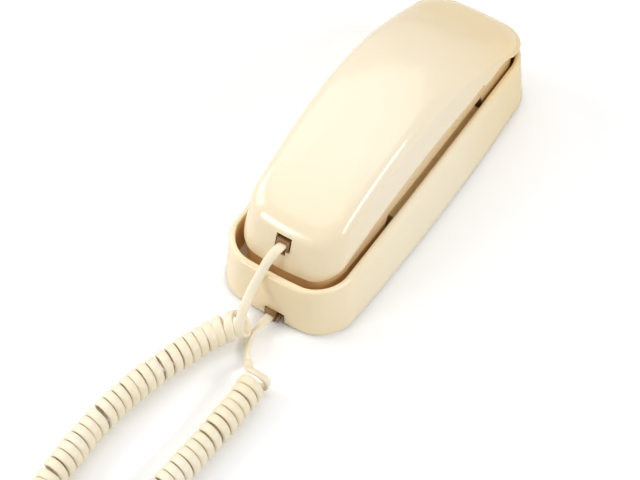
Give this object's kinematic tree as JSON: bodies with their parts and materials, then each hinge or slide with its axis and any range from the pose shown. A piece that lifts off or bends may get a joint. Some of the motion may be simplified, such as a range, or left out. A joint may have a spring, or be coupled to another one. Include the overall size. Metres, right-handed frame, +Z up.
{
  "type": "corded telephone",
  "caption": "Long one-piece telephone: an arched handset with its keypad underneath lies face down in a boat-shaped base, joined to it by a curly cord.",
  "frame": {"origin": "centre of the phone on the table, under the middle of the base", "axes": "+Z up from the table, +Y along the base towards the earpiece, -Y towards the cord"},
  "size_m": [0.0856, 0.4084, 0.0812],
  "materials": {
    "casing_gloss": "glossy ivory, aged to cream",
    "plate_matte": "fine satin",
    "key_plastic": "satin gloss",
    "plunger_plastic": "smooth",
    "rubber": "dull black",
    "silicone": "dull grey",
    "steel": "zinc plated",
    "contact_gold": "gold-plated wire",
    "brass_disc": "plain",
    "board": "solder mask over laminate",
    "component": "satin black",
    "plug_clear": "clear plastic, aged to amber",
    "cord_vinyl": "smooth vinyl, slight sheen"
  },
  "bodies": {
    "base": {"base_casing": "casing_gloss", "bottom_plate": "plate_matte", "rubber_feet": "rubber", "base_screws": "steel", "base_board": "board", "base_board_parts": "component", "board_spacers": "plate_matte", "ringer_holder": "component", "ringer_disc": "brass_disc", "base_weight": "steel", "hook_switch": "component", "hook_spring": "steel", "ringer_switch": "steel", "base_jack": "component", "base_jack_contacts": "contact_gold", "line_jack": "component", "line_jack_contacts": "contact_gold", "base_plug": "plug_clear", "plug_contacts_base": "contact_gold", "cord_lead_base": "cord_vinyl", "cord_coil": "cord_vinyl"},
    "handset": {"handset_back_shell": "casing_gloss", "handset_front_shell": "casing_gloss", "handset_screws": "steel", "handset_weight": "steel", "handset_board": "board", "handset_board_parts": "component", "keypad_mat": "silicone", "receiver": "component", "receiver_gasket": "rubber", "microphone": "steel", "microphone_boot": "rubber", "volume_switch": "steel", "handset_jack": "component", "handset_jack_contacts": "contact_gold", "handset_plug": "plug_clear", "plug_contacts_handset": "contact_gold", "cord_lead_handset": "cord_vinyl"},
    "hook_plunger": {"hook_plunger": "plunger_plastic"},
    "ringer_slide": {"ringer_slide": "component"},
    "volume_slide": {"volume_slide": "component"},
    "key_1": {"key_1": "key_plastic"},
    "key_2": {"key_2": "key_plastic"},
    "key_3": {"key_3": "key_plastic"},
    "key_4": {"key_4": "key_plastic"},
    "key_5": {"key_5": "key_plastic"},
    "key_6": {"key_6": "key_plastic"},
    "key_7": {"key_7": "key_plastic"},
    "key_8": {"key_8": "key_plastic"},
    "key_9": {"key_9": "key_plastic"},
    "key_star": {"key_star": "key_plastic"},
    "key_0": {"key_0": "key_plastic"},
    "key_pound": {"key_pound": "key_plastic"},
    "key_flash": {"key_flash": "key_plastic"},
    "key_redial": {"key_redial": "key_plastic"},
    "key_mute": {"key_mute": "key_plastic"}
  },
  "joints": [
    {"name": "handset_lift", "type": "slide", "parent": "base", "child": "handset", "axis": [0, 0, 1], "range_m": [0, 0.06]},
    {"name": "hook_travel", "type": "slide", "parent": "base", "child": "hook_plunger", "axis": [0, 0, 1], "range_m": [0, 0.003]},
    {"name": "ringer_select", "type": "slide", "parent": "base", "child": "ringer_slide", "axis": [0, 1, 0], "range_m": [-0.003, 0.003]},
    {"name": "volume_select", "type": "slide", "parent": "handset", "child": "volume_slide", "axis": [0, 1, 0], "range_m": [-0.003, 0.003]},
    {"name": "key_1_press", "type": "slide", "parent": "handset", "child": "key_1", "axis": [0, 0, 1], "range_m": [0, 0.001], "stiffness_N_per_m": 800},
    {"name": "key_2_press", "type": "slide", "parent": "handset", "child": "key_2", "axis": [0, 0, 1], "range_m": [0, 0.001], "stiffness_N_per_m": 800},
    {"name": "key_3_press", "type": "slide", "parent": "handset", "child": "key_3", "axis": [0, 0, 1], "range_m": [0, 0.001], "stiffness_N_per_m": 800},
    {"name": "key_4_press", "type": "slide", "parent": "handset", "child": "key_4", "axis": [0, 0, 1], "range_m": [0, 0.001], "stiffness_N_per_m": 800},
    {"name": "key_5_press", "type": "slide", "parent": "handset", "child": "key_5", "axis": [0, 0, 1], "range_m": [0, 0.001], "stiffness_N_per_m": 800},
    {"name": "key_6_press", "type": "slide", "parent": "handset", "child": "key_6", "axis": [0, 0, 1], "range_m": [0, 0.001], "stiffness_N_per_m": 800},
    {"name": "key_7_press", "type": "slide", "parent": "handset", "child": "key_7", "axis": [0, 0, 1], "range_m": [0, 0.001], "stiffness_N_per_m": 800},
    {"name": "key_8_press", "type": "slide", "parent": "handset", "child": "key_8", "axis": [0, 0, 1], "range_m": [0, 0.001], "stiffness_N_per_m": 800},
    {"name": "key_9_press", "type": "slide", "parent": "handset", "child": "key_9", "axis": [0, 0, 1], "range_m": [0, 0.001], "stiffness_N_per_m": 800},
    {"name": "key_star_press", "type": "slide", "parent": "handset", "child": "key_star", "axis": [0, 0, 1], "range_m": [0, 0.001], "stiffness_N_per_m": 800},
    {"name": "key_0_press", "type": "slide", "parent": "handset", "child": "key_0", "axis": [0, 0, 1], "range_m": [0, 0.001], "stiffness_N_per_m": 800},
    {"name": "key_pound_press", "type": "slide", "parent": "handset", "child": "key_pound", "axis": [0, 0, 1], "range_m": [0, 0.001], "stiffness_N_per_m": 800},
    {"name": "key_flash_press", "type": "slide", "parent": "handset", "child": "key_flash", "axis": [0, 0, 1], "range_m": [0, 0.001], "stiffness_N_per_m": 800},
    {"name": "key_redial_press", "type": "slide", "parent": "handset", "child": "key_redial", "axis": [0, 0, 1], "range_m": [0, 0.001], "stiffness_N_per_m": 800},
    {"name": "key_mute_press", "type": "slide", "parent": "handset", "child": "key_mute", "axis": [0, 0, 1], "range_m": [0, 0.001], "stiffness_N_per_m": 800}
  ],
  "couplings": [
    {"joint": "hook_travel", "follows": "handset_lift", "ratio": 0.05}
  ]
}
